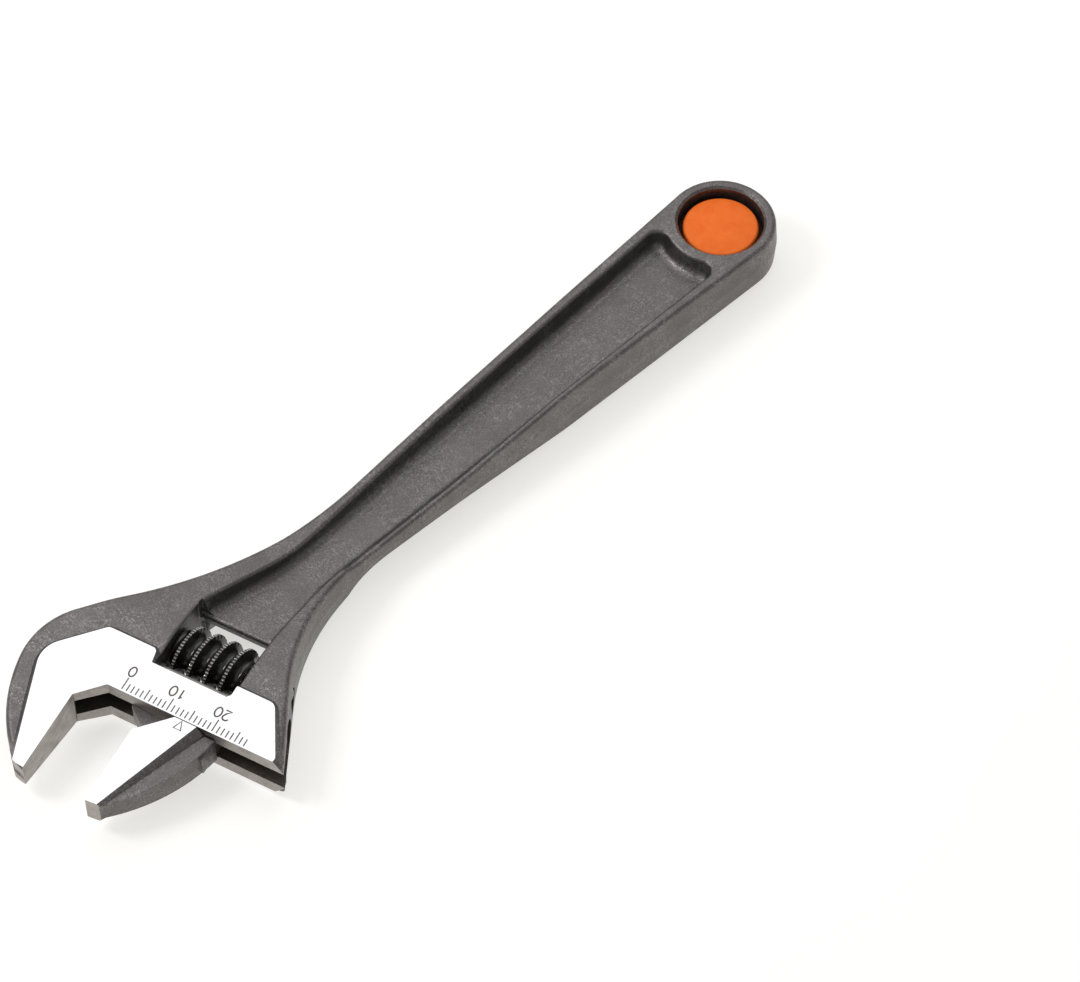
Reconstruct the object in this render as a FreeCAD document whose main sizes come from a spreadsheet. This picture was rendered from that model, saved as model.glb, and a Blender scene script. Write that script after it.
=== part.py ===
import FreeCAD, Part
import math
import os
import Sketcher

# Adjustable wrench with a 15 degree head, built from its separate pieces.
#
# Every piece is drawn in one drawing frame, in millimetres:
#   +X  the way the movable jaw opens; x = 0 is the fixed jaw's gripping face
#   +Y  from the jaws toward the handle; y = 0 is the edge the movable jaw slides on
#   +Z  up, out of the wrench's flat side; z = 0 is the plane halfway through it
# Each piece is then placed so that the row's origin is the middle of the fixed
# jaw's gripping face.

os.makedirs("parts", exist_ok=True)
doc = FreeCAD.newDocument("adjustable_wrench")
Vector = FreeCAD.Vector
Rotation = FreeCAD.Rotation
Placement = FreeCAD.Placement

SIZES = [
    # jaws
    ("jaw_opening", 14.13, "gap between the gripping faces as the wrench lies"),
    ("jaw_capacity", 27.0, "widest opening"),
    ("jaw_reach", 22.6, "slide edge to the tip of the fixed jaw"),
    ("jaw_face_mid", 13.7, "slide edge to the middle of the fixed gripping face"),
    ("throat_chamfer", 4.85, "corner cut between gripping face and slide edge"),
    ("foot_width", 9.0, "movable jaw along the slide edge"),
    ("tongue_left", 10.2, "end of the movable jaw's tongue inside the slot"),
    # thickness
    ("ground_half", 5.2, "half thickness of the ground head at the slide edge"),
    ("ground_taper", 5.82, "slope of the ground faces toward the tips, degrees"),
    ("ground_depth", 1.8, "height of the ground plateau's sloping step"),
    ("ground_slope", 40.0, "slope of that step from the vertical, degrees"),
    ("ridge_half", 6.15, "half thickness over the worm"),
    ("neck_half", 4.3, "half thickness of the neck"),
    ("handle_half", 5.75, "half thickness of the handle"),
    ("end_half", 5.4, "half thickness at the hanging hole"),
    ("web_half", 1.25, "half thickness of the web in the handle"),
    ("forged_edge", 1.1, "rounding of the forged outline"),
    ("forging_draft", 4.0, "draft of the outside walls, degrees"),
    # handle
    ("head_angle", 15.0, "handle to jaws, degrees"),
    ("hole_across", 54.1, "hanging hole along X"),
    ("hole_along", 158.7, "hanging hole along Y"),
    ("end_radius", 11.8, "round end of the handle"),
    ("handle_flare", 2.7, "each side of the handle to its centre line, degrees"),
    ("rim_width", 2.8, "rim beside the web"),
    ("web_draft", 12.0, "draft of the recess walls, degrees"),
    ("web_rounding", 2.0, "rounding between the web and the recess walls"),
    ("rim_rounding", 0.8, "rounding of the recess's top edge"),
    ("recess_corner", 3.2, "corners of the recess beside the boss"),
    ("boss_radius", 11.7, "top of the round boss about the hanging hole"),
    ("hole_radius", 9.0, "hanging hole"),
    # worm window, slide slot and the bores
    ("window_left", 10.2, "window wall next to the fixed jaw"),
    ("window_right", 27.2, "window wall at the outer cheek"),
    ("window_front", 7.9, "slide edge to the window"),
    ("window_back", 24.65, "slide edge to the end of the web"),
    ("slot_width", 4.6, "slot through the slide edge"),
    ("rack_depth", 9.0, "slide edge to the axis of the rack's bore"),
    ("rack_bore", 3.2, "radius of the rack's bore"),
    ("rack_radius", 3.0, "radius of the rack"),
    ("slide_gap", 0.2, "clearance round the movable jaw"),
    ("worm_depth", 16.3, "slide edge to the axis of the worm"),
    ("pin_bore", 1.56, "radius of the worm's and the cheeks' pin bores"),
    ("pin_radius", 1.5, "radius of the pin"),
    ("pin_seat", 32.2, "seat of the pin's head in the outer cheek"),
    ("pin_head", 2.4, "radius of the pin's head"),
    # worm and rack teeth
    ("worm_radius", 5.9, "over the thread's crest"),
    ("worm_root", 3.8, "under the thread"),
    ("thread_pitch", 3.56, "travel of the jaw for one turn of the worm"),
    ("thread_start", 17.3, "a crest on the handle side of the worm"),
    ("crest_width", 1.35, "thread crest"),
    ("flank_angle", 14.0, "thread flank, degrees"),
    ("end_clearance", 0.3, "each end of the worm to the window wall"),
    ("mesh_clearance", 0.2, "thread to rack tooth"),
    ("rack_left", 6.0, "end of the rack inside the head"),
    ("rack_right", 31.0, "end of the rack at the outer cheek"),
    # spring and plug
    ("spring_pocket", 2.75, "radius of the counterbore for the spring"),
    ("spring_reach", 4.5, "depth of that counterbore"),
    ("spring_radius", 2.2, "mean radius of the coil"),
    ("wire_radius", 0.25, "spring wire"),
    ("plug_radius", 7.9, "visible disc of the plug"),
    ("plug_edge", 3.5, "mid plane to the rim of that disc"),
    ("plug_dome", 0.5, "rise of the disc's middle"),
    ("plug_flange", 0.8, "half height of the flange that grips the hole"),
    ("hole_chamfer", 0.5, "bevel of the hanging hole's edge"),
]

sheet = doc.addObject("Spreadsheet::Sheet", "sizes")
for row, (alias, value, words) in enumerate(SIZES, start=1):
    sheet.set("A%d" % row, alias)
    sheet.set("B%d" % row, str(value))
    sheet.set("C%d" % row, words)
    sheet.setAlias("B%d" % row, alias)
doc.recompute()


def size(alias):
    return float(sheet.get(alias))


def slope(alias):
    return math.tan(math.radians(size(alias)))


# ---------------------------------------------------------------- drawing helpers

def corner_edges(corners, closed=True):
    """Lines and arcs through corners (x, y, radius); radius 0 is a sharp corner."""
    count = len(corners)
    points = [Vector(c[0], c[1], 0) for c in corners]
    spans = []
    for i, (x, y, radius) in enumerate(corners):
        here = points[i]
        if radius == 0 or (not closed and i in (0, count - 1)):
            spans.append((here, None, here))
            continue
        back = (points[i - 1] - here).normalize()
        ahead = (points[(i + 1) % count] - here).normalize()
        half = back.getAngle(ahead) / 2
        reach = radius / math.tan(half)
        middle = (back + ahead).normalize()
        centre = here + middle * (radius / math.sin(half))
        spans.append((here + back * reach, centre - middle * radius, here + ahead * reach))
    edges = []
    for i, (start, bulge, end) in enumerate(spans):
        if bulge is not None:
            edges.append(Part.Arc(start, bulge, end))
        if closed or i < count - 1:
            following = spans[(i + 1) % count][0]
            if end.distanceToPoint(following) > 1e-6:
                edges.append(Part.LineSegment(end, following))
    return edges


def new_body(label):
    body = doc.addObject("PartDesign::Body", label)
    body.Label = label
    return body


def plane(body, role):
    return [f for f in body.Origin.OriginFeatures if f.Role == role][0]


def new_sketch(body, name, role, edges, offset=None):
    """A closed outline on one of the body's origin planes."""
    sketch = body.newObject("Sketcher::SketchObject", name)
    sketch.AttachmentSupport = [(plane(body, role), "")]
    sketch.MapMode = "FlatFace"
    if offset is not None:
        sketch.AttachmentOffset = offset
    sketch.addGeometry(edges, False)
    doc.recompute()
    return sketch


def circle(radius):
    return [Part.Circle(Vector(0, 0, 0), Vector(0, 0, 1), radius)]


def drive_radius(sketch, alias):
    """Ties a one-circle sketch to the size sheet."""
    index = sketch.addConstraint(Sketcher.Constraint("Radius", 0, size(alias)))
    sketch.renameConstraint(index, "radius")
    sketch.setExpression("Constraints.radius", "sizes." + alias)


def solid_feature(body, kind, name, sketch, **values):
    """Pad, Pocket, Revolution or Groove; a text value is an expression."""
    feature = body.newObject("PartDesign::" + kind, name)
    feature.Profile = sketch
    for prop, value in values.items():
        if isinstance(value, str) and value.startswith("="):
            feature.setExpression(prop, value[1:])
        else:
            setattr(feature, prop, value)
    sketch.Visibility = False
    doc.recompute()
    return feature


def mirror_flat(body, name, feature):
    """Repeats a feature of the upper side on the lower side."""
    mirror = body.newObject("PartDesign::Mirrored", name)
    mirror.Originals = [feature]
    mirror.MirrorPlane = (plane(body, "XY_Plane"), [""])
    body.Tip = mirror
    doc.recompute()
    return mirror


def fillet_edges(body, name, chosen, alias):
    """Rounds edges of the body's tip: a list of their names, or a test that they pass."""
    base = body.Tip
    names = chosen
    if callable(chosen):
        names = ["Edge%d" % (i + 1) for i, e in enumerate(base.Shape.Edges) if chosen(e)]
    fillet = body.newObject("PartDesign::Fillet", name)
    fillet.Base = (base, names)
    fillet.setExpression("Radius", "sizes." + alias)
    doc.recompute()
    return fillet


def revolve_cut(body, name, corners, depth):
    """Turns a half section about a line along X, depth from the slide edge."""
    sketch = new_sketch(body, name + "_section", "XY_Plane", corner_edges(corners),
                        Placement(Vector(0, depth, 0), Rotation()))
    return solid_feature(body, "Groove", name, sketch, ReferenceAxis=(sketch, ["H_Axis"]),
                         Angle=360)


def place(body, depth_alias=None):
    """Drawing frame to row frame; a piece turned about its own axis is also moved out."""
    rise = "sizes.jaw_face_mid" + (" + sizes." + depth_alias if depth_alias else "")
    body.setExpression("Placement.Base.y", rise)


# ---------------------------------------------------------------- shared outlines

BEYOND = 40.0        # past the outside of the wrench, for cuts that run out of it
RECESS_TOP = 8.0     # height the recess is drawn at, above every part of the rim
SLOT_START = -4.3    # inner end of the slide slot, behind the fixed gripping face
PIN_LEFT = 5.0       # end of the pin in the inner cheek
DRILL_POINT = math.tan(math.radians(31))     # depth of a drilled cone over its radius


def ground_offset():
    """The plane of the upper ground face."""
    return Placement(Vector(0, 0, size("ground_half")),
                     Rotation(Vector(1, 0, 0), size("ground_taper")))


def on_ground(corners):
    """Corners drawn flat, moved up onto the sloping ground plane."""
    stretch = 1 / math.cos(math.radians(size("ground_taper")))
    return [(x, y * stretch, radius) for x, y, radius in corners]


def handle_side(side, inset=0.0):
    """Round end's tangent point and direction of one side of the handle, side -1 or +1."""
    lean = math.radians(size("head_angle") + side * size("handle_flare"))
    along = Vector(math.sin(lean), math.cos(lean), 0)
    outward = Vector(side * math.cos(lean), -side * math.sin(lean), 0)
    centre = Vector(size("hole_across"), size("hole_along"), 0)
    return centre + outward * (size("end_radius") - inset), along


def raise_plateau(body, corners):
    """The ground faces: plateaus with a sloping step, on both sides."""
    sketch = new_sketch(body, body.Label + "_ground_outline", "XY_Plane",
                        corner_edges(on_ground(corners)), ground_offset())
    pad = solid_feature(body, "Pad", body.Label + "_ground", sketch,
                        Length="=sizes.ground_depth", TaperAngle="=sizes.ground_slope",
                        Reversed=True)
    return mirror_flat(body, body.Label + "_ground_both", pad)


def cut_profile(body, name, stations):
    """Shapes the thickness: stations (y, half thickness, radius) seen along X."""
    upper = [(-BEYOND, stations[0][1], 0)] + stations + [(6 * BEYOND, stations[-1][1], 0)]
    edges = corner_edges(upper, closed=False)
    start, end = upper[0], upper[-1]
    edges += corner_edges([(end[0], end[1], 0), (end[0], BEYOND, 0), (start[0], BEYOND, 0),
                           (start[0], start[1], 0)], closed=False)
    sketch = new_sketch(body, name + "_outline", "YZ_Plane", edges)
    pocket = solid_feature(body, "Pocket", name, sketch, Type="ThroughAll", SideType="Symmetric")
    return mirror_flat(body, name + "_both", pocket)


# ---------------------------------------------------------------- the forged body

def body_outline():
    """Outside of jaw, head and handle; the mouth is cut out of it later."""
    reach = size("jaw_reach")
    far, far_way = handle_side(-1)
    near, near_way = handle_side(1)
    centre = Vector(size("hole_across"), size("hole_along"), 0)
    axis = math.radians(size("head_angle"))
    end = centre + Vector(math.sin(axis), math.cos(axis), 0) * size("end_radius")
    corners = [
        (near.x, near.y, 0),
        (32.0, 50.5, 60),                    # handle to neck, outer cheek side
        (29.7, 29.0, 46),                    # neck to outer cheek
        (44.0, -0.3, 0),
        (44.0, -reach, 0),
        (0.6, -reach - 0.1, 0),
        (-2.9, -reach + 1.1, 1.6),           # tip of the fixed jaw
        (-12.6, -11.5, 31),                  # back of the fixed jaw
        (-16.1, 6.4, 15.5),                  # shoulder
        (15.9, 38.6, 88),                    # shoulder to handle
        (far.x, far.y, 0),
    ]
    return corner_edges(corners, closed=False) + [Part.Arc(far, end, near)]


def mouth_corners():
    """The mouth, and past it the outside of the fixed jaw's tip."""
    chamfer, reach = size("throat_chamfer"), size("jaw_reach")
    return [(0, -reach - 0.05, 0), (0, -chamfer, 0.6), (chamfer, 0, 0), (2 * BEYOND, 0, 0),
            (2 * BEYOND, -BEYOND, 0), (-14.0, -BEYOND, 0), (-8.1, 6.3 - reach, 0),
            (-2.7, 0.8 - reach, 0)]


def window_corners():
    left, right = size("window_left"), size("window_right")
    front, back = size("window_front"), size("window_back")
    return [(left, front, 1.0), (right, front, 1.2), (right, back, 1.0), (left, back, 1.0)]


def slot_corners():
    half, start = size("slot_width") / 2, 0.15 - size("throat_chamfer")
    return [(start, -half, 0), (size("rack_depth"), -half, 0),
            (size("rack_depth"), half, 0), (start, half, 0)]


def recess_edges():
    """Recess beside the web, from the worm window to the boss, drawn at RECESS_TOP."""
    spread = slope("web_draft")
    inset = size("rim_width") - spread * (RECESS_TOP - size("handle_half"))
    far, far_way = handle_side(-1, inset)
    near, near_way = handle_side(1, inset)
    centre = Vector(size("hole_across"), size("hole_along"), 0)
    boss = size("boss_radius") - spread * (RECESS_TOP - size("end_half"))
    corner = size("recess_corner")

    def round_corner(point, way, inward):
        """Arc that joins a side of the recess, along way, to the boss."""
        start = point + inward * corner - way * BEYOND
        reach = (centre - start) * way
        off = (centre - start - way * reach).Length
        middle = start + way * (reach - math.sqrt((boss + corner) ** 2 - off * off))
        on_side = middle - inward * corner
        on_boss = middle + (centre - middle).normalize() * corner
        bulge = (on_side + on_boss) * 0.5 - middle
        return on_side, middle + bulge.normalize() * corner, on_boss

    across = near - far
    across.normalize()
    far_arc = round_corner(far, far_way, across)
    near_arc = round_corner(near, near_way, across * -1)
    axis = math.radians(size("head_angle"))
    bulge = centre - Vector(math.sin(axis), math.cos(axis), 0) * boss
    grow = spread * (RECESS_TOP - size("ridge_half"))
    left, right = size("window_left") - grow, size("window_right") + grow
    corners = [
        (far_arc[0].x, far_arc[0].y, 0),
        (18.6, 43.2, 60),
        (left, 25.0, 14),
        (left, size("window_front") + 1, 0),
        (right, size("window_front") + 1, 0),
        (right, 25.0, 60),
        (29.9, 43.0, 60),
        (near_arc[0].x, near_arc[0].y, 0),
    ]
    return corner_edges(corners, closed=False) + [
        Part.Arc(*near_arc), Part.Arc(near_arc[2], bulge, far_arc[2]),
        Part.Arc(far_arc[2], far_arc[1], far_arc[0])]


def web_lip_edges():
    """What is cut off the web's end to round it, seen along X."""
    end, half = size("window_back"), size("web_half")
    radius = 0.65 * half
    low, high = Vector(end, half - radius, 0), Vector(end + radius, half + 0.02, 0)
    middle = Vector(end + radius, half - radius, 0) + Vector(-1, 1, 0) * (radius / math.sqrt(2))
    top = RECESS_TOP
    return [Part.Arc(low, middle, high)] + corner_edges([
        (high.x, high.y, 0), (high.x, top, 0), (end - 0.5, top, 0), (end - 0.5, low.y, 0),
        (low.x, low.y, 0)], closed=False)


def is_forged_edge(edge):
    """An edge between the vertical outline and the shaped faces."""
    if edge.Length < 0.05:
        return False
    low, high = edge.BoundBox.ZMin, edge.BoundBox.ZMax
    upright = edge.BoundBox.ZLength > 3.0
    mid = edge.valueAt((edge.FirstParameter + edge.LastParameter) / 2)
    in_mouth = mid.y < 1.0 and mid.x > -0.5
    across = abs(edge.tangentAt(edge.FirstParameter).x) > 0.999 and edge.BoundBox.YLength < 0.01
    return not upright and not in_mouth and not across and (low > 0.5 or high < -0.5)


def is_web_edge(edge):
    """An edge between the web and a recess wall, other than the one the window removes."""
    box = edge.BoundBox
    on_web = abs(max(box.ZMax, -box.ZMin) - size("web_half")) < 0.02 and box.ZLength < 0.02
    return on_web and box.YMax > size("window_front") + 2.0


def rim_edges(shape):
    """Numbers of the edges where a recess wall meets the top of the rim."""
    lean = math.sin(math.radians(size("web_draft")))
    chosen = []
    for number, edge in enumerate(shape.Edges, start=1):
        mid = edge.valueAt((edge.FirstParameter + edge.LastParameter) / 2)
        if abs(mid.z) < size("web_half") + 2.2 or mid.y < size("window_front") + 1.5:
            continue
        walls = 0
        for face in shape.ancestorsOfType(edge, Part.Face):
            normal = face.normalAt(*face.Surface.parameter(mid))
            walls += abs(abs(normal.z) - lean) < 0.002
        if walls == 1:
            chosen.append("Edge%d" % number)
    return chosen


def bevel_hole(body):
    """Conical bevels on both edges of the hanging hole, cut from just above the rim."""
    rise, bevel = 0.5, size("hole_chamfer")
    above = Vector(size("hole_across"), size("hole_along"), size("end_half") + rise)
    outline = new_sketch(body, "bevel_outline", "XY_Plane",
                         circle(size("hole_radius") + bevel + rise),
                         Placement(above, Rotation()))
    cone = solid_feature(body, "Pocket", "hole_bevel", outline, TaperAngle=-45.0,
                         Length="=sizes.hole_chamfer + %g" % rise)
    mirror_flat(body, "hole_bevel_both", cone)


def build_body():
    body = new_body("body")
    outline = new_sketch(body, "body_outline", "XY_Plane", body_outline())
    solid_feature(body, "Pad", "blank", outline, SideType="Two sides", Length=8.0, Length2=8.0,
                  TaperAngle="=-sizes.forging_draft", TaperAngle2="=-sizes.forging_draft")
    cut_profile(body, "thickness", [
        (-22.6, 2.05, 0), (-9.0, 2.95, 30), (16.0, size("ridge_half"), 12),
        (46.0, size("neck_half"), 45), (88.0, size("handle_half"), 150),
        (125.0, size("handle_half"), 200), (size("hole_along"), size("end_half"), 0)])
    fillet_edges(body, "forged_rounding", is_forged_edge, "forged_edge")
    recess = new_sketch(body, "recess_outline", "XY_Plane", recess_edges(),
                        Placement(Vector(0, 0, RECESS_TOP), Rotation()))
    pocket = solid_feature(body, "Pocket", "recess", recess,
                           Length="=%g - sizes.web_half" % RECESS_TOP,
                           TaperAngle="=-sizes.web_draft")
    mirror_flat(body, "recess_both", pocket)
    fillet_edges(body, "web_fillets", is_web_edge, "web_rounding")
    fillet_edges(body, "rim_fillets", rim_edges(body.Tip.Shape), "rim_rounding")
    front = size("window_front")
    raise_plateau(body, [
        (3.0, -22.6, 0), (-2.6, -22.0, 0.6), (-10.95, 1.3, 5.5), (-1.45, 10.85, 1.6),
        (9.3, 10.85, 1.0), (9.9, front, 0), (26.6, front, 0), (27.0, 10.85, 0.6),
        (35.5, 10.85, 1.9), (41.7, 0.6, 1.3), (38.0, -6.0, 0), (38.0, -22.0, 0)])
    mouth = new_sketch(body, "mouth_outline", "XY_Plane", corner_edges(mouth_corners()))
    solid_feature(body, "Pocket", "mouth", mouth, Type="ThroughAll", SideType="Symmetric")
    window = new_sketch(body, "window_outline", "XY_Plane", corner_edges(window_corners()))
    solid_feature(body, "Pocket", "window", window, Type="ThroughAll", SideType="Symmetric")
    lip = new_sketch(body, "web_lip_section", "YZ_Plane", web_lip_edges(),
                     Placement(Vector(0, 0, size("window_left")), Rotation()))
    cut = solid_feature(body, "Pocket", "web_lip", lip, Reversed=True,
                        Length="=sizes.window_right - sizes.window_left")
    mirror_flat(body, "web_lip_both", cut)
    slot = new_sketch(body, "slot_section", "YZ_Plane", corner_edges(slot_corners()),
                      Placement(Vector(0, 0, SLOT_START), Rotation()))
    solid_feature(body, "Pocket", "slot", slot, Type="ThroughAll", Reversed=True)
    bore = size("rack_bore")
    corner = -7.4
    revolve_cut(body, "rack_channel", [
        (corner - bore * DRILL_POINT, 0, 0), (corner, bore, 0), (2 * BEYOND, bore, 0),
        (2 * BEYOND, 0, 0)], size("rack_depth"))
    bore, head = size("pin_bore"), size("pin_head") + 0.1
    corner, seat = PIN_LEFT - 0.2, size("pin_seat")
    revolve_cut(body, "pin_bores", [
        (corner - bore * DRILL_POINT, 0, 0), (corner, bore, 0), (seat, bore, 0),
        (seat, head, 0), (2 * BEYOND, head, 0), (2 * BEYOND, 0, 0)], size("worm_depth"))
    centre = Placement(Vector(size("hole_across"), size("hole_along"), 0), Rotation())
    hole = new_sketch(body, "hole_outline", "XY_Plane", circle(size("hole_radius")), centre)
    drive_radius(hole, "hole_radius")
    solid_feature(body, "Pocket", "hanging_hole", hole, Type="ThroughAll", SideType="Symmetric")
    bevel_hole(body)
    place(body)
    return body


# ---------------------------------------------------------------- the movable jaw

def jaw_outline():
    """Blank of the movable jaw, with stock left on the gripping face and the tip."""
    face, stock = size("jaw_opening"), 2.0
    return [(face - stock, -size("jaw_reach") - 1.0, 0),
            (face + 2.3, -size("jaw_reach") - 0.72, 0), (face + 13.0, -12.3, 38),
            (face + 14.9, 0.6, 0), (face - stock, 0.6, 0)]


def jaw_trim():
    """Gripping face, throat corner, foot and tip of the movable jaw."""
    face, foot, reach = size("jaw_opening"), -size("slide_gap"), size("jaw_reach")
    corner = 5.9
    return [(face, -reach - 0.2, 0), (face, foot - corner, 0.6), (face + corner, foot, 0),
            (2 * BEYOND, foot, 0), (2 * BEYOND, BEYOND, 0), (-BEYOND, BEYOND, 0),
            (-BEYOND, -BEYOND, 0), (face + 20.0, -BEYOND, 0), (face + 6.5, 3.6 - reach, 0),
            (face + 2.9, 0.05 - reach, 0)]


def build_movable_jaw():
    body = new_body("movable_jaw")
    face = size("jaw_opening")
    outline = new_sketch(body, "jaw_outline", "XY_Plane", corner_edges(jaw_outline()))
    solid_feature(body, "Pad", "jaw_blank", outline, SideType="Two sides", Length=8.0,
                  Length2=8.0, TaperAngle="=-sizes.forging_draft",
                  TaperAngle2="=-sizes.forging_draft")
    cut_profile(body, "jaw_thickness", [(-22.6, 2.05, 0), (0.0, 3.2, 0)])
    raise_plateau(body, [
        (face - 4, -size("jaw_reach") - 0.2, 0), (face + 2.4, -size("jaw_reach") - 0.2, 0),
        (face + 10.9, 0.4, 0), (face + 10.0, 3.0, 0), (face - 4, 3.0, 0)])
    trim = new_sketch(body, "jaw_trim_outline", "XY_Plane", corner_edges(jaw_trim()))
    solid_feature(body, "Pocket", "jaw_trim", trim, Type="ThroughAll", SideType="Symmetric")
    left, right = size("tongue_left"), face + 14.4
    tongue = new_sketch(body, "tongue_outline", "XY_Plane", corner_edges([
        (left, -0.4, 0.8), (left + 5.5, -4.65, 0), (right, -4.65, 0),
        (right, size("rack_depth"), 0), (left, size("rack_depth"), 0)]))
    solid_feature(body, "Pad", "tongue", tongue, SideType="Symmetric",
                  Length="=sizes.slot_width - 2 * sizes.slide_gap")
    radius, bevel = size("rack_radius"), 1.5
    start, end = size("rack_left"), size("rack_right")
    rack = new_sketch(body, "rack_section", "XY_Plane", corner_edges([
        (start, 0, 0), (start, radius - bevel, 0), (start + bevel, radius, 0),
        (end - 0.6, radius, 0), (end, radius - 0.6, 0), (end, 0, 0)]),
        Placement(Vector(0, size("rack_depth"), 0), Rotation()))
    solid_feature(body, "Revolution", "rack", rack, ReferenceAxis=(rack, ["H_Axis"]), Angle=360)
    cut_rack_teeth(body)
    place(body)
    return body


def cut_rack_teeth(body):
    """Straight grooves across the rack, leaning by the worm's lead angle."""
    pitch = size("thread_pitch")
    tip_line = size("worm_depth") - size("worm_radius") - size("mesh_clearance")
    lead = math.degrees(math.atan(pitch / (2 * math.pi * (size("worm_radius") - 0.8))))
    half = size("crest_width") / 2 + size("mesh_clearance")
    mouth = half + slope("flank_angle") * 3.0
    first = size("thread_start") - 2.5 * pitch
    count = 7
    groove = new_sketch(body, "tooth_gap_outline", "XY_Plane", corner_edges([
        (-half, tip_line, 0), (half, tip_line, 0), (mouth, tip_line + 3.0, 0),
        (-mouth, tip_line + 3.0, 0)]),
        Placement(Vector(first, 0, 0), Rotation(Vector(0, 1, 0), lead)))
    cut = solid_feature(body, "Pocket", "tooth_gap", groove, Length=10.0, SideType="Symmetric")
    row = body.newObject("PartDesign::LinearPattern", "tooth_gaps")
    row.Originals = [cut]
    row.Direction = (plane(body, "X_Axis"), [""])
    row.setExpression("Length", "sizes.thread_pitch * %d" % (count - 1))
    row.Occurrences = count
    body.Tip = row
    doc.recompute()


# ---------------------------------------------------------------- worm, pin, spring, plug

def build_knurl():
    """The thumb worm: left-hand thread on a bored core, chamfered at both ends."""
    body = new_body("knurl")
    left = size("window_left") + size("end_clearance")
    right = size("window_right") - size("end_clearance")
    root, crest, pitch = size("worm_root"), size("worm_radius"), size("thread_pitch")
    core = new_sketch(body, "core_section", "XY_Plane", corner_edges([
        (left, 0, 0), (left, root, 0), (right, root, 0), (right, 0, 0)]))
    solid_feature(body, "Revolution", "core", core, ReferenceAxis=(core, ["H_Axis"]), Angle=360)
    start = size("thread_start") - 3 * pitch
    foot = crest - root + 0.3
    half, wide = size("crest_width") / 2, size("crest_width") / 2 + slope("flank_angle") * foot
    tooth = new_sketch(body, "thread_section", "XY_Plane", corner_edges([
        (start - wide, crest - foot, 0), (start - half, crest, 0), (start + half, crest, 0),
        (start + wide, crest - foot, 0)]))
    solid_feature(body, "AdditiveHelix", "thread", tooth, ReferenceAxis=(tooth, ["H_Axis"]),
                  Mode="pitch-height-angle", Pitch="=sizes.thread_pitch", Height=7 * pitch,
                  LeftHanded=True)
    bevel, out = 1.3, 2 * crest
    for name, end, way in (("left_end", left, -1), ("right_end", right, 1)):
        section = new_sketch(body, name + "_section", "XY_Plane", corner_edges([
            (end, 0, 0), (end, root, 0), (end - way * bevel, crest + 0.1, 0),
            (end - way * bevel, out, 0), (end + way * out, out, 0), (end + way * out, 0, 0)]))
        solid_feature(body, "Groove", name, section, ReferenceAxis=(section, ["H_Axis"]),
                      Angle=360)
    pocket, reach, bore = size("spring_pocket"), size("spring_reach"), size("pin_bore")
    hollow = new_sketch(body, "bore_section", "XY_Plane", corner_edges([
        (left - 1, 0, 0), (left - 1, pocket, 0), (left + reach, pocket, 0),
        (left + reach, bore, 0), (right + 1, bore, 0), (right + 1, 0, 0)]))
    solid_feature(body, "Groove", "bore", hollow, ReferenceAxis=(hollow, ["H_Axis"]), Angle=360)
    place(body, "worm_depth")
    return body


def build_pin():
    """Headed pin from the outer cheek into the inner one, slotted for a screwdriver."""
    body = new_body("knurl_pin")
    seat, radius, head = size("pin_seat"), size("pin_radius"), size("pin_head")
    length, slot_depth = 2.6, 0.8
    section = new_sketch(body, "pin_section", "XY_Plane", corner_edges([
        (PIN_LEFT, 0, 0), (PIN_LEFT, radius - 0.4, 0), (PIN_LEFT + 0.4, radius, 0),
        (seat, radius, 0), (seat, head, 0), (seat + length - 0.3, head, 0),
        (seat + length, head - 0.3, 0), (seat + length, 0, 0)]))
    solid_feature(body, "Revolution", "pin_turned", section, Angle=360,
                  ReferenceAxis=(section, ["H_Axis"]))
    slot = new_sketch(body, "driver_slot_outline", "XY_Plane", corner_edges([
        (seat + length - slot_depth, -0.3, 0), (seat + length + 1, -0.3, 0),
        (seat + length + 1, 0.3, 0), (seat + length - slot_depth, 0.3, 0)]))
    solid_feature(body, "Pocket", "driver_slot", slot, Type="ThroughAll", SideType="Symmetric")
    place(body, "worm_depth")
    return body


def build_spring():
    """Coil on the pin, in the worm's counterbore, that keeps the worm from turning by itself."""
    body = new_body("knurl_spring")
    wire, radius, turns = size("wire_radius"), size("spring_radius"), 4
    start = size("window_left") + wire
    room = size("end_clearance") + size("spring_reach") - 2 * wire - 0.05
    section = new_sketch(body, "wire_section", "XY_Plane", circle(wire),
                         Placement(Vector(start, radius, 0), Rotation()))
    drive_radius(section, "wire_radius")
    axis = plane(body, "X_Axis")
    solid_feature(body, "AdditiveHelix", "coil", section, ReferenceAxis=(axis, [""]),
                  Mode="pitch-height-angle", Pitch=room / turns, Height=room)
    place(body, "worm_depth")
    return body


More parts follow.
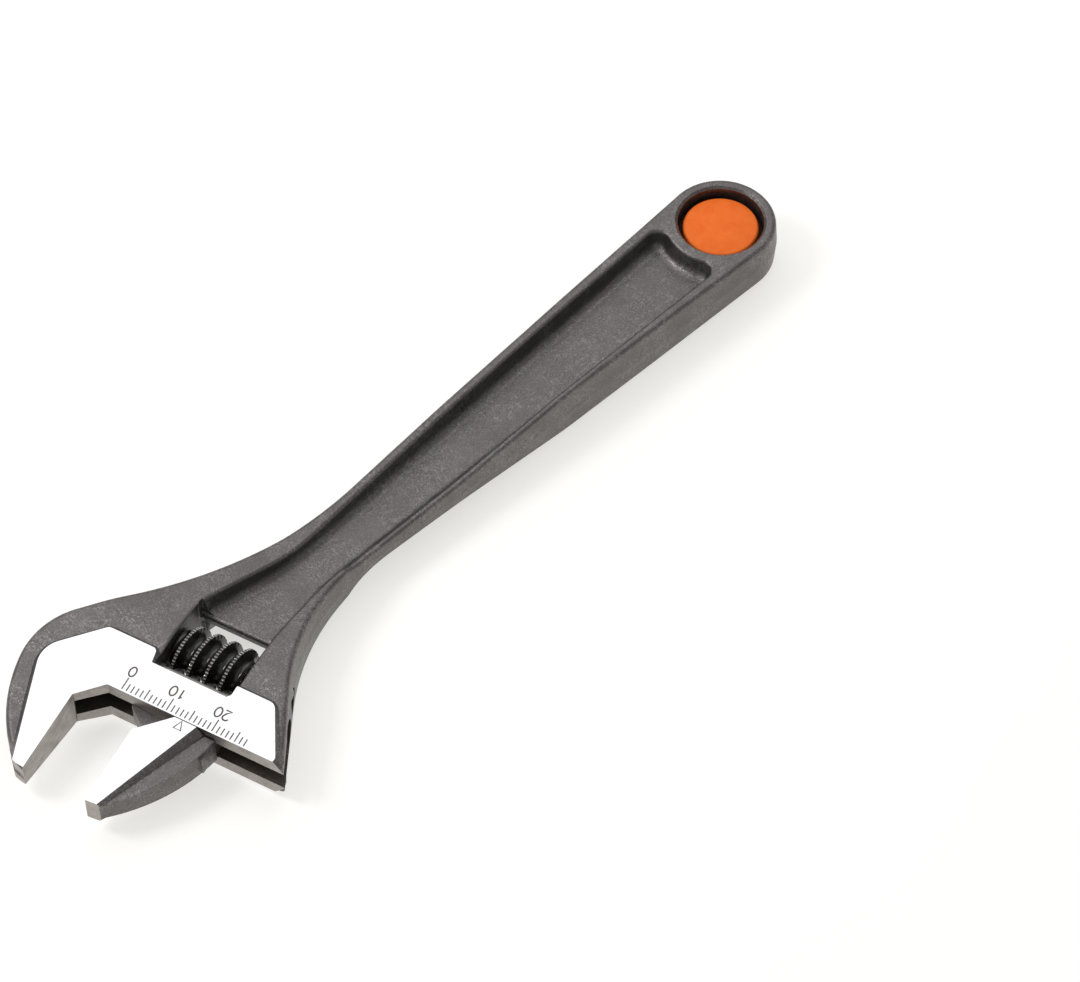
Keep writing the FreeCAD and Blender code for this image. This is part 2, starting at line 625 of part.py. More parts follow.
def build_plug():
    """Soft plug pressed into the hanging hole, the same from both sides."""
    body = new_body("hang_hole_plug")
    disc, flange = size("plug_radius"), size("hole_radius")
    edge, grip, dome = size("plug_edge"), size("plug_flange"), size("plug_dome")
    rim = 0.6
    flat = disc - rim
    crown = (flat * flat + dome * dome) / (2 * dome)      # radius of the spherical crown
    halfway = edge + dome - crown + math.sqrt(crown * crown - flat * flat / 4)
    lower, upper = Vector(disc, edge - rim, 0), Vector(flat, edge, 0)
    middle = Vector(flat, edge - rim, 0) + Vector(1, 1, 0) * (rim / math.sqrt(2))
    edges = corner_edges([(0, 0, 0), (flange, 0, 0), (flange, grip, 0), (disc, grip, 0),
                          (lower.x, lower.y, 0)], closed=False)
    edges += [Part.Arc(lower, middle, upper),
              Part.Arc(upper, Vector(flat / 2, halfway, 0), Vector(0, edge + dome, 0)),
              Part.LineSegment(Vector(0, edge + dome, 0), Vector(0, 0, 0))]
    section = new_sketch(body, "plug_section", "XZ_Plane", edges)
    turned = solid_feature(body, "Revolution", "plug_turned", section, Angle=360,
                           ReferenceAxis=(section, ["V_Axis"]))
    mirror_flat(body, "plug_both", turned)
    body.setExpression("Placement.Base.x", "sizes.hole_across")
    place(body, "hole_along")
    return body


# ---------------------------------------------------------------- build and export

for make in (build_body, build_movable_jaw, build_knurl, build_pin, build_spring, build_plug):
    make()
doc.recompute()

for item in doc.Objects:
    if "Invalid" in item.State or "Error" in item.State:
        raise RuntimeError("%s did not build: %s" % (item.Name, item.State))
    if item.isDerivedFrom("PartDesign::Feature") and (item.Shape.isNull()
                                                      or not item.Shape.isValid()):
        raise RuntimeError("%s has a bad shape" % item.Name)

for piece in doc.Objects:
    if piece.TypeId == "PartDesign::Body":
        piece.Shape.exportStep("parts/%s.step" % piece.Label)
        box = piece.Shape.BoundBox
        print("%-16s %d solid, %9.1f mm3, x %7.2f..%7.2f y %7.2f..%7.2f z %6.2f..%6.2f" % (
            piece.Label, len(piece.Shape.Solids), piece.Shape.Volume, box.XMin, box.XMax,
            box.YMin, box.YMax, box.ZMin, box.ZMax))
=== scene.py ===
import math

import bpy
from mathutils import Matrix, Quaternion, Vector


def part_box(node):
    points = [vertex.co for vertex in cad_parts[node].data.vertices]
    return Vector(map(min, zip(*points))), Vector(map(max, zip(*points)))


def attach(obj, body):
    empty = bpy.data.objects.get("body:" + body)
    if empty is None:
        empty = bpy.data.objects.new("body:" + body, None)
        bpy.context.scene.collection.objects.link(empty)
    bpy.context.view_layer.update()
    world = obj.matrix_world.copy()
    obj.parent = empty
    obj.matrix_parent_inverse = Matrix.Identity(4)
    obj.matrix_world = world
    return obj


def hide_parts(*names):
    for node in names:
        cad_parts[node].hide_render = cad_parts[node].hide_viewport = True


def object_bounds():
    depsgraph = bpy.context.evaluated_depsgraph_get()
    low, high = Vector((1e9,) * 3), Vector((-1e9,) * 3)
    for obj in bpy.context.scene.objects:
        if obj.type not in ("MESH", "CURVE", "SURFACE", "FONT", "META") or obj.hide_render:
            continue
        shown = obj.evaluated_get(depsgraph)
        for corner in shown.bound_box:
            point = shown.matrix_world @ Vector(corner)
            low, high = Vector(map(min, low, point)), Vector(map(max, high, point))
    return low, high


# Looks of the adjustable wrench. Lengths are in millimetres until a mesh is made.

MM = 0.001
JAW_FACE_MID = 13.7                      # row y of the slide edge
GROUND_HALF = 5.2                        # half thickness of the ground head at the slide edge
GROUND_TAPER = math.tan(math.radians(5.82))
JAW_OPENING = 14.13                      # between the gripping faces at rest
TIP_FACE = -20.8                         # slide edge to where the tips' end faces begin
THROAT = 4.85                            # corner between gripping face and slide edge
HEAD_RIGHT = 42.0                        # right limit of the mouth's machined faces
SLOT_LEFT = -4.3                         # inner end of the slide slot
SLOT_HALF = 2.3                          # half the slot's width
RACK_AXIS = 9.0                          # from the slide edge
RACK_BORE = 3.2                          # radius
RACK_BORE_LEFT = -9.6                    # just past the drilled end of the rack's bore
PIN_AXIS = 16.3                          # from the slide edge
PIN_HEAD_BORE = 2.5                      # radius
WINDOW_RIGHT = 27.2                      # outer cheek's side of the worm window
SAME_PLANE = 0.02                        # how far off a plane still counts as on it

WORM_PITCH = 3.56
WORM_CREST_AT = 17.3                     # a crest on the handle side of the worm
WORM_CREST = 5.9                         # radius
WORM_ROOT = 3.8                          # radius
WORM_CREST_WIDTH = 0.72
WORM_BEVEL = 1.3                         # length of the bevel at each end
WORM_RINGS = 132                         # mesh rings along the worm
POINTS_PER_TOOTH = 4                     # mesh points round the worm for one tooth
KNURL_TEETH = 52                         # round the crest
KNURL_DEPTH = 0.16
PIN_BORE = 1.56                          # radius
SPRING_POCKET = (2.75, 4.5)              # radius and depth of the worm's counterbore
WORM_SMOOTH = 32                         # degrees; sharper edges of the worm stay sharp

PLUG_PAINTED_SHADE = (1.2, 3.0)                  # heights from full painted shade to none: the plug is painted darker down in the hole

BRUSH_ANGLE = math.radians(29)           # grinding lines on the head, from +X


# ---------------------------------------------------------------- shader helpers

class Shader:
    """A material with one Principled shader, built up from short calls."""

    def __init__(self, name, colour, roughness, metallic=0.0, **sockets):
        self.material = bpy.data.materials.new(name)
        self.material.use_nodes = True
        self.tree = self.material.node_tree
        self.principled = self.tree.nodes["Principled BSDF"]
        self.set("Base Color", (*colour, 1.0))
        self.set("Roughness", roughness)
        self.set("Metallic", metallic)
        for socket, value in sockets.items():
            self.set(socket.replace("_", " "), value)
        self.place = self.tree.nodes.new("ShaderNodeTexCoord").outputs["Object"]

    def set(self, socket, value):
        self.principled.inputs[socket].default_value = value

    def feed(self, socket, source):
        self.tree.links.new(source, self.principled.inputs[socket])

    def node(self, kind, **inputs):
        """A node with inputs given by socket name or number, as values or other outputs."""
        made = self.tree.nodes.new("ShaderNode" + kind)
        for key, value in inputs.items():
            socket = made.inputs[int(key[1:]) if key[1:].isdigit() else key.replace("_", " ")]
            if isinstance(value, bpy.types.NodeSocket):
                self.tree.links.new(value, socket)
            else:
                socket.default_value = value
        return made

    def maths(self, operation, a, b=0.0):
        made = self.tree.nodes.new("ShaderNodeMath")
        made.operation = operation
        for socket, value in zip(made.inputs, (a, b)):
            if isinstance(value, bpy.types.NodeSocket):
                self.tree.links.new(value, socket)
            else:
                socket.default_value = value
        return made.outputs[0]

    def noise(self, size, detail=3.0, roughness=0.5, distortion=0.0, place=None):
        """Noise from 0 to 1 with features of about that size in millimetres."""
        made = self.node("TexNoise", Vector=place or self.place, Scale=1 / (size * MM),
                         Detail=detail, Roughness=roughness, Distortion=distortion)
        return made.outputs[0]

    def steps(self, value, low, high, low_to=0.0, high_to=1.0):
        """value from low..high to low_to..high_to, clamped."""
        made = self.node("MapRange", Value=value, From_Min=low, From_Max=high,
                         To_Min=low_to, To_Max=high_to)
        return made.outputs[0]

    def mix(self, share, colour_a, colour_b):
        made = self.tree.nodes.new("ShaderNodeMix")
        made.data_type = "RGBA"
        for name, value in (("Factor_Float", share), ("A_Color", colour_a), ("B_Color", colour_b)):
            socket = next(s for s in made.inputs if s.identifier == name)
            if isinstance(value, bpy.types.NodeSocket):
                self.tree.links.new(value, socket)
            elif name == "Factor_Float":
                socket.default_value = value
            else:
                socket.default_value = (*value, 1.0)
        return next(s for s in made.outputs if s.identifier == "Result_Color")

    def bump(self, height, depth, strength=1.0, normal=None):
        """height from 0 to 1 raised by depth millimetres."""
        inputs = dict(Height=height, Distance=depth * MM, Strength=strength)
        if normal is not None:
            inputs["Normal"] = normal
        return self.node("Bump", **inputs).outputs[0]

    def rounded(self, radius):
        """Normals softened at sharp edges, and a mask that is 1 on those edges."""
        bevel = self.tree.nodes.new("ShaderNodeBevel")
        bevel.samples = 6
        bevel.inputs["Radius"].default_value = radius * MM
        facing = self.tree.nodes.new("ShaderNodeVectorMath")
        facing.operation = "DOT_PRODUCT"
        self.tree.links.new(bevel.outputs[0], facing.inputs[0])
        normal = self.tree.nodes.new("ShaderNodeNewGeometry").outputs["Normal"]
        self.tree.links.new(normal, facing.inputs[1])
        edge = self.steps(facing.outputs["Value"], 0.995, 0.90)
        return bevel.outputs[0], edge

    def stretched(self, angle, along, across):
        """Place turned about Z and scaled, for lines that run along angle."""
        mapping = self.tree.nodes.new("ShaderNodeMapping")
        mapping.vector_type = "TEXTURE"
        mapping.inputs["Rotation"].default_value = (0, 0, angle)
        mapping.inputs["Scale"].default_value = (along, across, across)
        self.tree.links.new(self.place, mapping.inputs["Vector"])
        return mapping.outputs[0]

    def done(self, normal=None):
        if normal is not None:
            self.feed("Normal", normal)
        return self.material


# ---------------------------------------------------------------- materials

def phosphated_forging():
    """Dark phosphated forging: a satin coat with crinkled scale whose lines carry a painted
    highlight, and fine grain.
    """
    s = Shader("phosphated_forging", (0.14, 0.13, 0.125), 0.42, 0.9)
    soft, edge = s.rounded(0.25)
    patches = s.steps(s.noise(9.0, 4.0, 0.6), 0.3, 0.7)
    grain = s.noise(0.30, 2.0, 0.6)
    crinkle = s.noise(1.7, 3.0, 0.55, 1.8)
    from_line = s.maths("ABSOLUTE", s.steps(crinkle, 0.25, 0.75, -1.0, 1.0))
    lines = s.steps(from_line, 0.22, 0.0)
    lines = s.maths("MULTIPLY", lines, s.steps(s.noise(6.0, 2.0), 0.38, 0.56))
    colour = s.mix(patches, (0.116, 0.107, 0.105), (0.142, 0.132, 0.129))
    colour = s.mix(s.steps(grain, 0.52, 0.76), colour, (0.215, 0.205, 0.20))
    # painted highlight: the crinkle lines are painted lighter to stand in for glints on them;
    # their relief is a real bump below
    colour = s.mix(s.maths("MULTIPLY", lines, 0.6), colour, (0.30, 0.29, 0.285))
    worn = s.maths("MULTIPLY", edge, s.steps(s.noise(1.2, 3.0, 0.6), 0.42, 0.66))
    colour = s.mix(s.maths("MULTIPLY", worn, 0.6), colour, (0.46, 0.45, 0.44))
    s.feed("Base Color", colour)
    rough = s.steps(grain, 0.3, 0.7, 0.47, 0.35)
    s.feed("Roughness", s.maths("SUBTRACT", rough, s.maths("MULTIPLY", worn, 0.10)))
    normal = s.bump(s.noise(2.8, 3.0, 0.5, 0.8), 0.12, 1.0, soft)
    normal = s.bump(lines, 0.022, 1.0, normal)
    normal = s.bump(grain, 0.032, 1.0, normal)
    return s.done(normal)


def ground_steel():
    """Bright ground head: fine brushed lines one way and a few faint stains."""
    s = Shader("ground_steel", (0.93, 0.93, 0.95), 0.30, 1.0)
    lines = s.noise(0.22, 2.0, 0.7, place=s.stretched(BRUSH_ANGLE, 40.0, 1.0))
    long_lines = s.noise(0.7, 2.0, 0.6, place=s.stretched(BRUSH_ANGLE, 60.0, 1.0))
    stains = s.steps(s.noise(5.0, 4.0, 0.65, 0.6), 0.58, 0.80)
    colour = s.mix(s.steps(lines, 0.35, 0.75), (0.875, 0.875, 0.90), (0.80, 0.80, 0.82))
    colour = s.mix(s.maths("MULTIPLY", s.steps(long_lines, 0.58, 0.72), 0.40), colour,
                   (0.66, 0.66, 0.68))
    colour = s.mix(s.maths("MULTIPLY", stains, 0.25), colour, (0.68, 0.67, 0.67))
    s.feed("Base Color", colour)
    s.feed("Roughness", s.steps(lines, 0.3, 0.7, 0.25, 0.38))
    normal = s.bump(lines, 0.006)
    return s.done(s.bump(long_lines, 0.008, 1.0, normal))


def machined_steel():
    """Milled gripping and sliding faces, duller and warmer than the ground head."""
    s = Shader("machined_steel", (0.42, 0.40, 0.38), 0.36, 1.0)
    soft, edge = s.rounded(0.15)
    cuts = s.noise(0.35, 2.0, 0.6, place=s.stretched(math.radians(90), 12.0, 1.0))
    blotches = s.steps(s.noise(2.5, 4.0, 0.6), 0.35, 0.75)
    colour = s.mix(blotches, (0.36, 0.33, 0.31), (0.26, 0.235, 0.215))
    colour = s.mix(s.maths("MULTIPLY", s.steps(cuts, 0.4, 0.8), 0.4), colour, (0.55, 0.53, 0.50))
    colour = s.mix(s.maths("MULTIPLY", edge, 0.6), colour, (0.72, 0.71, 0.70))
    s.feed("Base Color", colour)
    s.feed("Roughness", s.steps(blotches, 0.0, 1.0, 0.34, 0.46))
    return s.done(s.bump(cuts, 0.012, 1.0, soft))


def bore_steel():
    """Inside the slot and the bores: dark and rough; the dark colour is painted shade."""
    s = Shader("bore_steel", (0.06, 0.05, 0.045), 0.5, 0.4)
    film = s.noise(1.2, 4.0, 0.6)
    # painted shade: faces inside the slot and bores get this dark colour because they lie in shade
    s.feed("Base Color", s.mix(film, (0.045, 0.036, 0.030), (0.095, 0.080, 0.068)))
    s.feed("Roughness", s.steps(film, 0.3, 0.7, 0.40, 0.65))
    return s.done(s.bump(s.noise(0.4, 2.0), 0.02))


def black_worm(axis_y):
    """Glossy black oxide, worn bright on the tops of the knurl."""
    s = Shader("black_worm", (0.014, 0.013, 0.013), 0.22, 0.0, Specular_IOR_Level=0.7)
    parts = s.tree.nodes.new("ShaderNodeSeparateXYZ")
    s.tree.links.new(s.place, parts.inputs[0])
    off = s.maths("SUBTRACT", parts.outputs["Y"], axis_y * MM)
    radius = s.maths("SQRT", s.maths("ADD", s.maths("POWER", off, 2.0),
                                     s.maths("POWER", parts.outputs["Z"], 2.0)))
    top = s.steps(radius, (WORM_CREST - 0.10) * MM, (WORM_CREST - 0.01) * MM)
    rubbed = s.maths("MULTIPLY", top, s.steps(s.noise(0.9, 3.0), 0.30, 0.50, 0.35, 1.0))
    haze = s.noise(1.4, 3.0, 0.6)
    colour = s.mix(haze, (0.007, 0.006, 0.006), (0.014, 0.012, 0.011))
    s.feed("Base Color", s.mix(rubbed, colour, (0.50, 0.47, 0.44)))
    s.feed("Metallic", rubbed)
    s.feed("Roughness", s.steps(haze, 0.3, 0.7, 0.14, 0.24))
    return s.done(s.bump(s.noise(0.5, 2.0), 0.004))


def pin_steel():
    """Turned steel with faint rings, darkened by oil."""
    s = Shader("pin_steel", (0.25, 0.24, 0.23), 0.35, 1.0)
    rings = s.noise(0.25, 1.0, 0.5, place=s.stretched(math.radians(90), 30.0, 1.0))
    film = s.noise(1.0, 3.0)
    s.feed("Base Color", s.mix(film, (0.15, 0.14, 0.13), (0.34, 0.33, 0.31)))
    s.feed("Roughness", s.steps(film, 0.3, 0.7, 0.28, 0.45))
    return s.done(s.bump(rings, 0.008))


def spring_wire():
    """Drawn wire with fine lengthwise scratches."""
    s = Shader("spring_wire", (0.45, 0.45, 0.46), 0.3, 1.0)
    marks = s.noise(0.12, 2.0, 0.6)
    s.feed("Base Color", s.mix(marks, (0.36, 0.35, 0.34), (0.55, 0.55, 0.56)))
    s.feed("Roughness", s.steps(marks, 0.3, 0.7, 0.22, 0.40))
    return s.done(s.bump(marks, 0.004))


def orange_plug():
    """Matte moulded plastic with a faint mottle, and painted shade down in the hole."""
    s = Shader("orange_plug", (0.95, 0.18, 0.015), 0.55, 0.0, Specular_IOR_Level=0.25)
    mottle = s.steps(s.noise(3.0, 4.0, 0.6, 0.4), 0.3, 0.7)
    specks = s.steps(s.noise(0.5, 2.0, 0.5), 0.66, 0.78)
    colour = s.mix(mottle, (0.97, 0.190, 0.018), (0.90, 0.150, 0.010))
    colour = s.mix(s.maths("MULTIPLY", specks, 0.25), colour, (0.60, 0.10, 0.01))
    parts = s.tree.nodes.new("ShaderNodeSeparateXYZ")
    s.tree.links.new(s.place, parts.inputs[0])
    # painted shade: the plug's colour turns dark red-brown where it sits deep in the hole
    shade_in_hole = s.steps(s.maths("ABSOLUTE", parts.outputs["Z"]), PLUG_PAINTED_SHADE[1] * MM, PLUG_PAINTED_SHADE[0] * MM)
    colour = s.mix(shade_in_hole, colour, (0.055, 0.012, 0.006))
    s.feed("Base Color", colour)
    s.feed("Roughness", s.steps(mottle, 0.0, 1.0, 0.48, 0.62))
    normal = s.bump(s.noise(2.2, 2.0, 0.5), 0.03)
    return s.done(s.bump(s.noise(0.25, 2.0, 0.6), 0.008, 1.0, normal))


def engraved_ink():
    """Floor of the engraved scale: etched dark brown."""
    s = Shader("engraved_ink", (0.10, 0.085, 0.075), 0.6, 0.3)
    etch = s.noise(0.3, 3.0, 0.6)
    s.feed("Base Color", s.mix(etch, (0.07, 0.058, 0.05), (0.16, 0.135, 0.12)))
    s.feed("Roughness", s.steps(etch, 0.3, 0.7, 0.5, 0.7))
    return s.done(s.bump(etch, 0.01))


def studio_floor():
    """Pale sheet lit a little from beneath, so shadows on it stay faint."""
    s = Shader("studio_floor", (0.5, 0.495, 0.485), 0.7, 0.0, Specular_IOR_Level=0.1)
    s.feed("Base Color", s.mix(s.noise(60.0, 3.0), (0.49, 0.485, 0.475), (0.51, 0.505, 0.495)))
    s.set("Emission Color", (1.0, 0.985, 0.96, 1.0))
    s.set("Emission Strength", 0.62)
    return s.done()


# ---------------------------------------------------------------- faces of the CAD nodes

def on_ground_plane(centre, normal):
    """True for a face of either ground side of the head or the jaw."""
    height = GROUND_HALF + GROUND_TAPER * (centre.y - JAW_FACE_MID)
    return abs(abs(centre.z) - height) < SAME_PLANE and abs(normal.z) > 0.99


def in_bore(centre, axis_y, radius):
    """True inside a bore along X whose axis is axis_y from the slide edge."""
    return math.hypot(centre.y - JAW_FACE_MID - axis_y, centre.z) < radius


def inside_head(centre, normal):
    """True for a face of the slide slot, the rack's bore or the pin's bores."""
    y = centre.y - JAW_FACE_MID
    past_end = centre.x > SLOT_LEFT - 0.1
    if past_end and -THROAT < y < RACK_AXIS and abs(centre.z) < SLOT_HALF + 0.05:
        return True
    if RACK_BORE_LEFT < centre.x and in_bore(centre, RACK_AXIS, RACK_BORE + 0.05):
        return True
    past_wall = abs(normal.x) < 0.5 or centre.x > WINDOW_RIGHT + 4
    return past_wall and in_bore(centre, PIN_AXIS, PIN_HEAD_BORE + 0.1)


def body_finish(centre, normal):
    """Which finish a face of the forged body has."""
    y = centre.y - JAW_FACE_MID
    upright = abs(normal.z) < 0.03
    mouth_side = centre.x > -0.05 and y < 0.05 and centre.x < HEAD_RIGHT
    mouth_face = centre.x < 0.05 or y > -0.05 or abs(centre.x - y - THROAT) < 0.1
    if on_ground_plane(centre, normal):
        return "ground"
    if inside_head(centre, normal):
        return "bore"
    if mouth_side and mouth_face and upright:
        return "machined"
    if y < TIP_FACE and abs(normal.z) < 0.2 and normal.y < -0.4:
        return "machined"
    return "forged"


def jaw_finish(centre, normal):
    """Which finish a face of the movable jaw has."""
    if on_ground_plane(centre, normal):
        return "ground"
    y = centre.y - JAW_FACE_MID
    if y > -0.15:
        return "machined"
    if abs(centre.x - JAW_OPENING) < SAME_PLANE and normal.x < -0.99:
        return "machined"
    if y < TIP_FACE and normal.y < -0.9:
        return "machined"
    return "forged"


def paint_node(node, finishes, choose):
    """Gives each face of a CAD node the finish that choose names."""
    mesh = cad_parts[node].data
    mesh.materials.clear()
    names = list(finishes)
    for name in names:
        mesh.materials.append(finishes[name])
    for face in mesh.polygons:
        face.material_index = names.index(choose(face.center / MM, face.normal))


def repaint(node, material):
    """Gives a CAD node one material all over."""
    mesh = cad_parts[node].data
    mesh.materials.clear()
    mesh.materials.append(material)


# ---------------------------------------------------------------- mesh helpers

def add_piece(name, points, faces, material, body, sharp=None):
    """A mesh piece from points in millimetres, riding on a CAD body."""
    mesh = bpy.data.meshes.new(name)
    mesh.from_pydata([Vector(p) * MM for p in points], [], faces)
    mesh.update()
    mesh.materials.append(material)
    piece = bpy.data.objects.new(name, mesh)
    bpy.context.scene.collection.objects.link(piece)
    if sharp is not None:
        mesh.polygons.foreach_set("use_smooth", [True] * len(mesh.polygons))
        mesh.set_sharp_from_angle(angle=math.radians(sharp))
    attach(piece, body)
    return piece


def ring_surface(rings):
    """Faces between rings of equal length, closed round and from the last to the first."""
    count = len(rings[0])
    points = [p for ring in rings for p in ring]
    faces = []
    for i in range(len(rings)):
        a, b = i * count, (i + 1) % len(rings) * count
        for j in range(count):
            k = (j + 1) % count
            faces.append((a + j, b + j, b + k, a + k))
    return points, faces


# ---------------------------------------------------------------- the worm

def worm_radius(x, turn, left, right):
    """Radius of the worm at x and at that share of a turn from +Y toward +Z."""
    from_crest = (x - WORM_CREST_AT + WORM_PITCH * turn) / WORM_PITCH
    off = abs(from_crest - round(from_crest)) * WORM_PITCH
    half = WORM_CREST_WIDTH / 2
    if off <= half:
        tooth = abs(2 * (turn * KNURL_TEETH % 1.0) - 1)
        radius = WORM_CREST - KNURL_DEPTH * (1 - tooth)
    else:
        share = (WORM_PITCH / 2 - off) / (WORM_PITCH / 2 - half)
        radius = WORM_CREST - (WORM_CREST - WORM_ROOT) * math.sqrt(max(0.0, 1 - share * share))
        radius = min(radius, WORM_CREST - KNURL_DEPTH)
    from_end = min(x - left, right - x)
    bevelled = WORM_ROOT + (WORM_CREST - WORM_ROOT) * from_end / WORM_BEVEL
    return min(radius, bevelled)


def build_worm():
    """The worm with its thread and knurl, in place of the CAD's plain one."""
    low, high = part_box("knurl")
    left, right = low.x / MM, high.x / MM
    axis_y = (low.y + high.y) / 2 / MM
    around = KNURL_TEETH * POINTS_PER_TOOTH

    def ring(x, radius_at):
        """Points round the worm at x, where radius_at gives the radius at a share of a turn."""
        made = []
        for j in range(around):
            turn = j / around
            radius, angle = radius_at(turn), 2 * math.pi * turn
            made.append((x, axis_y + radius * math.cos(angle), radius * math.sin(angle)))
        return made

    rings = []
    for i in range(WORM_RINGS + 1):
        x = left + (right - left) * i / WORM_RINGS
        rings.append(ring(x, lambda turn: worm_radius(x, turn, left, right)))
    pocket, depth = SPRING_POCKET
    for x, radius in ((right, PIN_BORE), (left + depth, PIN_BORE), (left + depth, pocket),
                      (left, pocket)):
        rings.append(ring(x, lambda turn: radius))
    points, faces = ring_surface(rings)
    worm = add_piece("worm_thread", points, [f[::-1] for f in faces], black_worm(axis_y),
                     "worm", WORM_SMOOTH)
    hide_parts("knurl")


# ---------------------------------------------------------------- the engraved scale

TICK_START = 7.82                        # x of the scale's zero
TICK_COUNT = 28
TICK_FOOT = 0.35                         # slide edge to the near end of a tick
NUMERAL_MIDDLE = 4.45                    # slide edge to the middle of the numerals
NUMERAL_HEIGHT = 2.1
NUMERAL_WIDTH = 1.35
NUMERAL_GAP = 0.45                       # between the digits of a number
TICK_LENGTHS = (2.7, 2.3, 1.6)           # every tenth, every fifth, the rest
TICK_WIDTH = 0.26
NUMERAL_LINE = 0.34
INDEX_LINE = 0.36
INDEX_APEX = (21.75, -0.35)              # from the gripping face and the slide edge
INDEX_BASE = -2.25                       # slide edge to the triangle's base
INDEX_HALF_WIDTH = 0.80
ENGRAVING_LIFT = 0.012                   # the marks' faces over the ground steel
ENGRAVING_DEPTH = 0.04                   # and their undersides below it


def ground_point(x, y, lift):
    """A point over the upper ground face, y from the slide edge."""
    return (x, y + JAW_FACE_MID, GROUND_HALF + GROUND_TAPER * y + lift)


def stroke(line, width, closed=False):
    """A flat ribbon along a line of (x, y), as a thin closed slab on the ground face."""
    count = len(line)
    sides = []
    for i in range(count):
        here = Vector(line[i])
        before = Vector(line[i - 1]) if closed or i > 0 else here
        after = Vector(line[(i + 1) % count]) if closed or i < count - 1 else here
        way = (after - before).normalized()
        out = Vector((-way.y, way.x)) * (width / 2)
        sides.append((here + out, here - out))
    points = []
    for one, other in sides:
        for lift in (ENGRAVING_LIFT, -ENGRAVING_DEPTH):
            points.append(ground_point(one.x, one.y, lift))
            points.append(ground_point(other.x, other.y, lift))
    faces = []
    spans = count if closed else count - 1
    for i in range(spans):
        a, b = 4 * i, 4 * ((i + 1) % count)
        faces += [(a, a + 1, b + 1, b), (a + 2, b + 2, b + 3, a + 3),
                  (a, b, b + 2, a + 2), (a + 1, a + 3, b + 3, b + 1)]
    if not closed:
        z = 4 * (count - 1)
        faces += [(0, 2, 3, 1), (z, z + 1, z + 3, z + 2)]
    return points, faces


def digit_lines(digit):
    """Centre lines of a numeral in a box from -1 to 1, as (closed, points)."""
    if digit == "0":
        return [(True, [(math.sin(a), math.cos(a)) for a in
                        [2 * math.pi * i / 20 for i in range(20)]])]
    if digit == "1":
        return [(False, [(-0.55, 0.45), (0.1, 1.0), (0.1, -1.0)])]
    bow = [(0.95 * math.cos(a), 0.45 + 0.55 * math.sin(a)) for a in
           [math.radians(165 - 15 * i) for i in range(13)]]
    return [(False, bow + [(0.35, -0.35), (-0.95, -1.0), (1.0, -1.0)])]


def numeral(text, middle_x):
    """Lines of a number, its top toward the jaws' tips, centred over middle_x."""
    step = NUMERAL_WIDTH + NUMERAL_GAP
    lines = []
    for i, digit in enumerate(text):
        offset = (i - (len(text) - 1) / 2) * step
        for closed, points in digit_lines(digit):
            turned = [(middle_x - offset - x * NUMERAL_WIDTH / 2,
                       NUMERAL_MIDDLE - y * NUMERAL_HEIGHT / 2) for x, y in points]
            lines.append((turned, closed))
    return lines


def build_marks(name, strokes, body, material):
    """One piece out of several strokes (line, width, closed)."""
    points, faces = [], []
    for line, width, closed in strokes:
        some_points, some_faces = stroke(line, width, closed)
        start = len(points)
        points += some_points
        faces += [tuple(i + start for i in face) for face in some_faces]
    return add_piece(name, points, faces, material, body)


def build_scale():
    """The opening scale on the head and the triangle on the jaw that points at it."""
    ink = engraved_ink()
    strokes = []
    for i in range(TICK_COUNT):
        x = TICK_START + i
        rank = 0 if i % 10 == 0 else 1 if i % 5 == 0 else 2
        top = TICK_FOOT + TICK_LENGTHS[rank]
        strokes.append(([(x, TICK_FOOT), (x, top)], TICK_WIDTH, False))
    for value in (0, 10, 20):
        for line, closed in numeral(str(value), TICK_START + value):
            strokes.append((line, NUMERAL_LINE, closed))
    build_marks("opening_scale", strokes, "wrench", ink)
    triangle = [INDEX_APEX, (INDEX_APEX[0] + INDEX_HALF_WIDTH, INDEX_BASE),
                (INDEX_APEX[0] - INDEX_HALF_WIDTH, INDEX_BASE)]
    build_marks("index_mark", [(triangle, INDEX_LINE, True)], "jaw", ink)


# ---------------------------------------------------------------- camera, floor, light

# These are in metres, degrees and watts.
CAMERA_AZIMUTH = 29.12
CAMERA_ELEVATION = 53.16
CAMERA_ROLL = -0.40
CAMERA_AIM = (0.0530, 0.0966, 0.0)
CAMERA_DISTANCE = 0.793
LENS = 133.33
SENSOR_WIDTH = 36.0
LIGHT_AIM = (0.03, 0.08, 0.0)
FLOOR_HALF = 1.5
FLOOR_GAP = 0.0003                       # under the lowest point of the wrench
WORLD_STRENGTH = 0.45


def make_camera():
    """A long lens, high up and to the right of the jaws."""
    azimuth, elevation = math.radians(CAMERA_AZIMUTH), math.radians(CAMERA_ELEVATION)
    roll = math.radians(CAMERA_ROLL)
    aim = Vector(CAMERA_AIM)
    back = Vector((math.sin(azimuth) * math.cos(elevation),
                   -math.cos(azimuth) * math.cos(elevation), math.sin(elevation)))
    data = bpy.data.cameras.new("camera")
    data.lens = LENS
    data.sensor_width = SENSOR_WIDTH
    camera = bpy.data.objects.new("camera", data)
    camera.location = aim + back * CAMERA_DISTANCE
    camera.rotation_mode = "QUATERNION"
    level = (-back).to_track_quat("-Z", "Y")
    camera.rotation_quaternion = level @ Quaternion((0, 0, 1), roll)
    bpy.context.scene.collection.objects.link(camera)
    bpy.context.scene.camera = camera


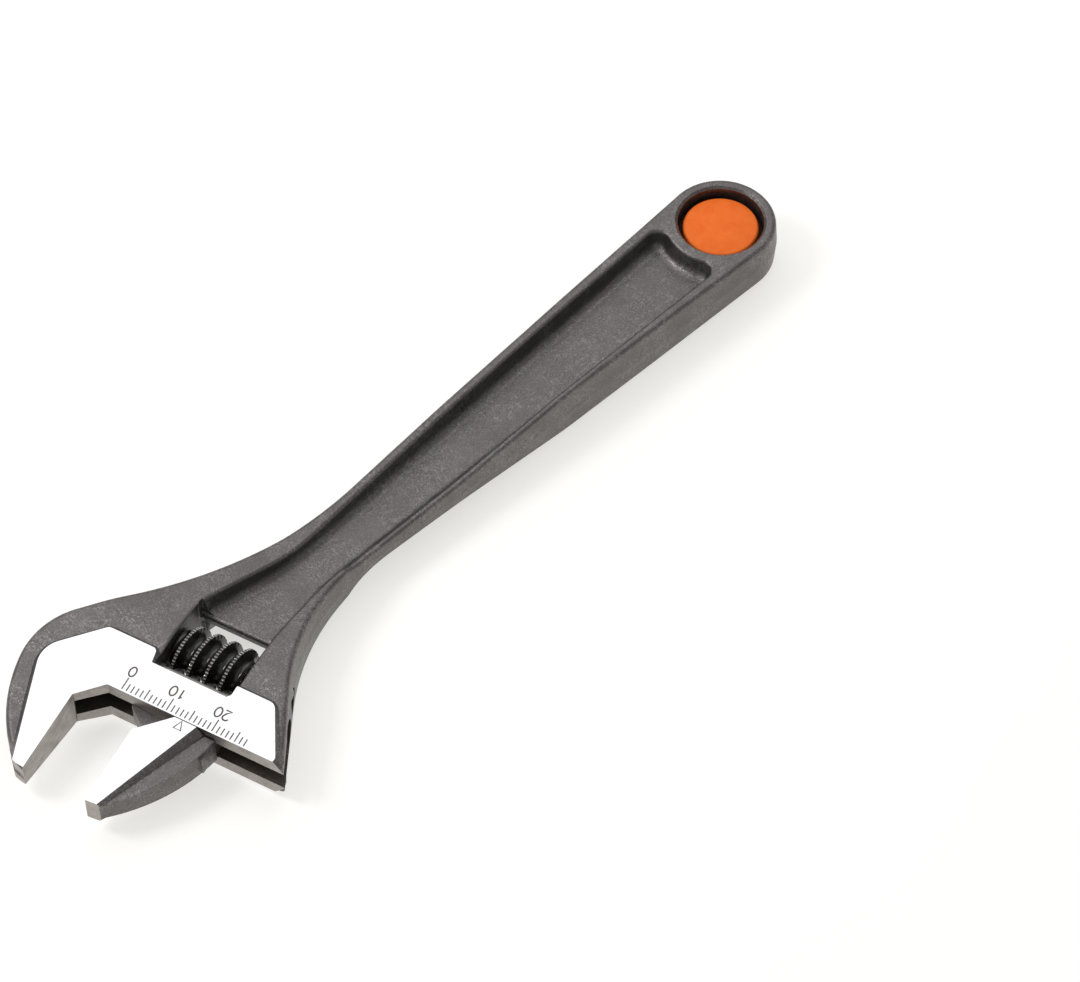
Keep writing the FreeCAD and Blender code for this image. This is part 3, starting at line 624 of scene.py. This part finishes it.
def area_light(name, place, size, power, colour):
    """A rectangular light at place, turned toward LIGHT_AIM."""
    data = bpy.data.lights.new(name, "AREA")
    data.shape = "RECTANGLE"
    data.size, data.size_y = size
    data.energy = power
    data.color = colour
    lamp = bpy.data.objects.new(name, data)
    lamp.location = place
    lamp.rotation_mode = "QUATERNION"
    lamp.rotation_quaternion = (Vector(LIGHT_AIM) - Vector(place)).to_track_quat("-Z", "Y")
    bpy.context.scene.collection.objects.link(lamp)


def make_studio():
    """Floor, two lights, the world's even light and the view transform."""
    low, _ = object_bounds()
    half, z = FLOOR_HALF, low.z - FLOOR_GAP
    mesh = bpy.data.meshes.new("floor")
    mesh.from_pydata([(-half, -half, z), (half, -half, z), (half, half, z), (-half, half, z)],
                     [], [(0, 1, 2, 3)])
    mesh.materials.append(studio_floor())
    floor = bpy.data.objects.new("floor", mesh)
    bpy.context.scene.collection.objects.link(floor)
    area_light("back_softbox", (-0.22, 0.50, 0.66), (1.1, 0.9), 2.75, (0.97, 0.985, 1.0))
    area_light("left_key", (-0.45, -0.14, 0.62), (0.26, 0.26), 2.3, (1.0, 0.99, 0.98))
    world = bpy.data.worlds.new("world")
    world.use_nodes = True
    background = world.node_tree.nodes["Background"]
    background.inputs["Color"].default_value = (1.0, 0.99, 0.975, 1.0)
    background.inputs["Strength"].default_value = WORLD_STRENGTH
    bpy.context.scene.world = world
    bpy.context.scene.view_settings.view_transform = "Standard"


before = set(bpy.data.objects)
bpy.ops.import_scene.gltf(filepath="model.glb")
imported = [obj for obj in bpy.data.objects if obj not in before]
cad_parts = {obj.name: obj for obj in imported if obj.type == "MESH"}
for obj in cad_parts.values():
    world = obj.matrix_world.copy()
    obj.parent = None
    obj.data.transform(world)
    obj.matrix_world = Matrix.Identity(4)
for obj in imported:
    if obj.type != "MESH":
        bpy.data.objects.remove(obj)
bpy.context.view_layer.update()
forged, ground = phosphated_forging(), ground_steel()
machined, bore = machined_steel(), bore_steel()
paint_node("body", {"forged": forged, "ground": ground, "machined": machined, "bore": bore},
           body_finish)
paint_node("movable_jaw", {"forged": forged, "ground": ground, "machined": machined},
           jaw_finish)
repaint("knurl_pin", pin_steel())
repaint("knurl_spring", spring_wire())
repaint("hang_hole_plug", orange_plug())
build_worm()
build_scale()
make_camera()
make_studio()
